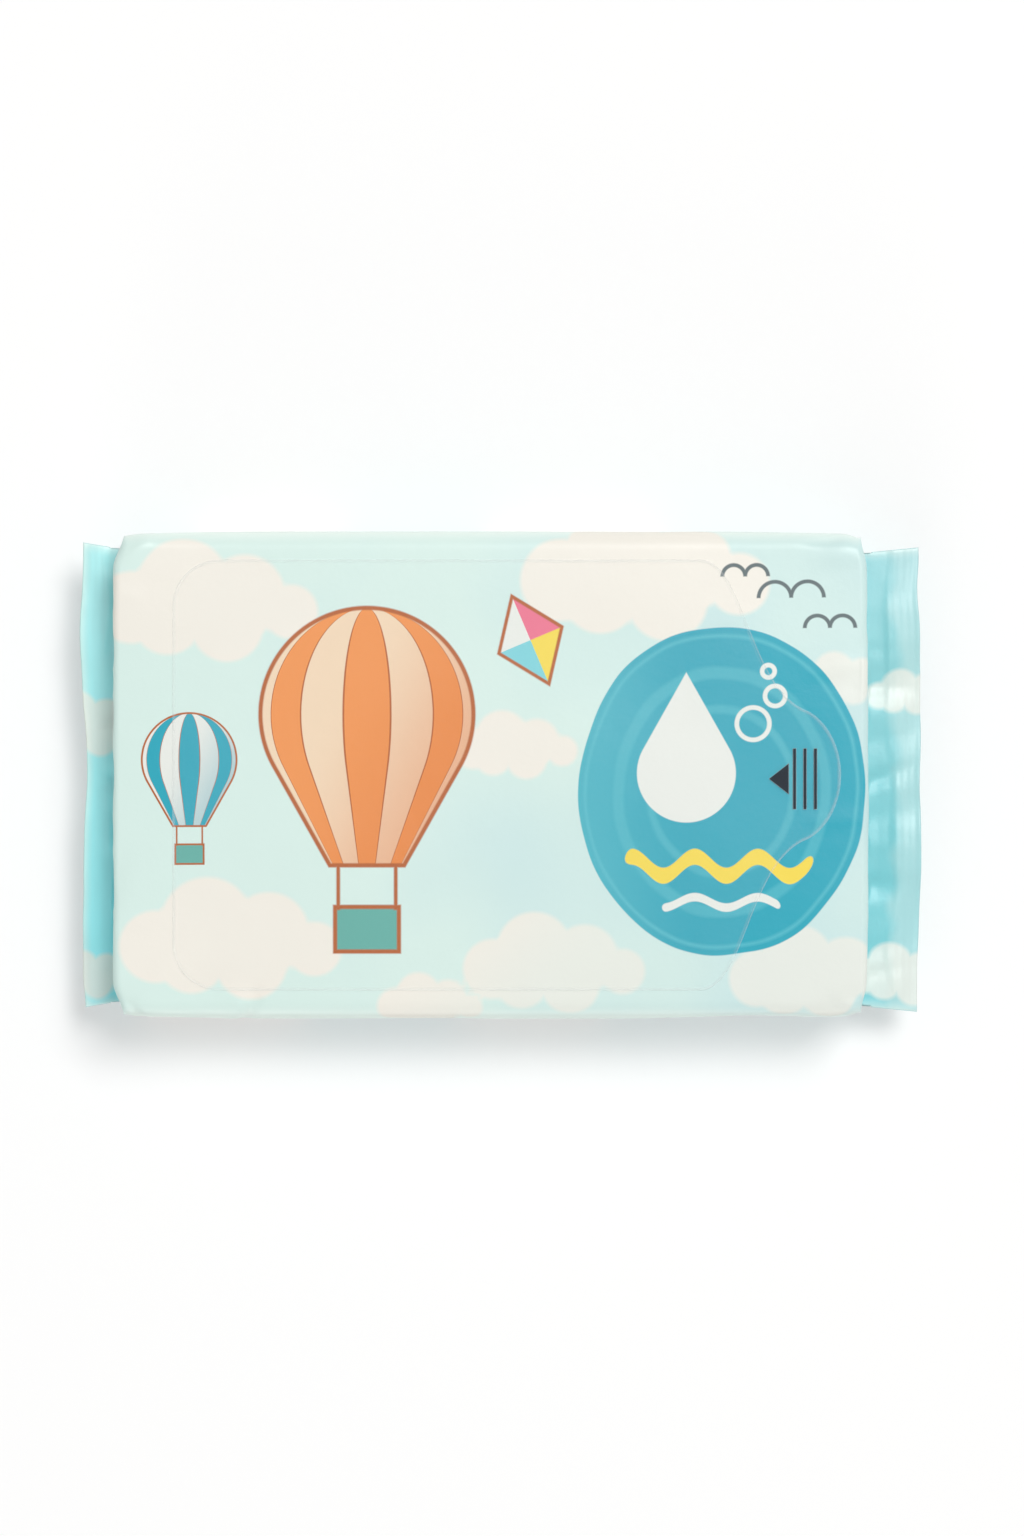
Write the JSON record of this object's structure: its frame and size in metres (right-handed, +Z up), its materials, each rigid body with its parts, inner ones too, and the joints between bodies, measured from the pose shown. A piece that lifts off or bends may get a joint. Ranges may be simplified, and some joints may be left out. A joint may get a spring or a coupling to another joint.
{
  "type": "wet wipes pack",
  "caption": "Sealed pocket pack of moist wipes in printed film, with a flat crimped seal at each end, tucked sides and a clear peel-back label with a rounded pull tab on its top.",
  "frame": {"origin": "under the middle of the overall length and width, on the plane of the back seam that the pack lies on", "axes": "+X along the length towards the label's pull tab, +Y across the width, +Z up out of the labelled top panel"},
  "size_m": [0.0888, 0.0512, 0.0132],
  "materials": {
    "printed_film": "pale aqua printed film with a soft sheen",
    "clear_label": "clear glossy film"
  },
  "bodies": {
    "root": {"film_pack": "printed_film", "reseal_label": "clear_label"}
  },
  "joints": []
}
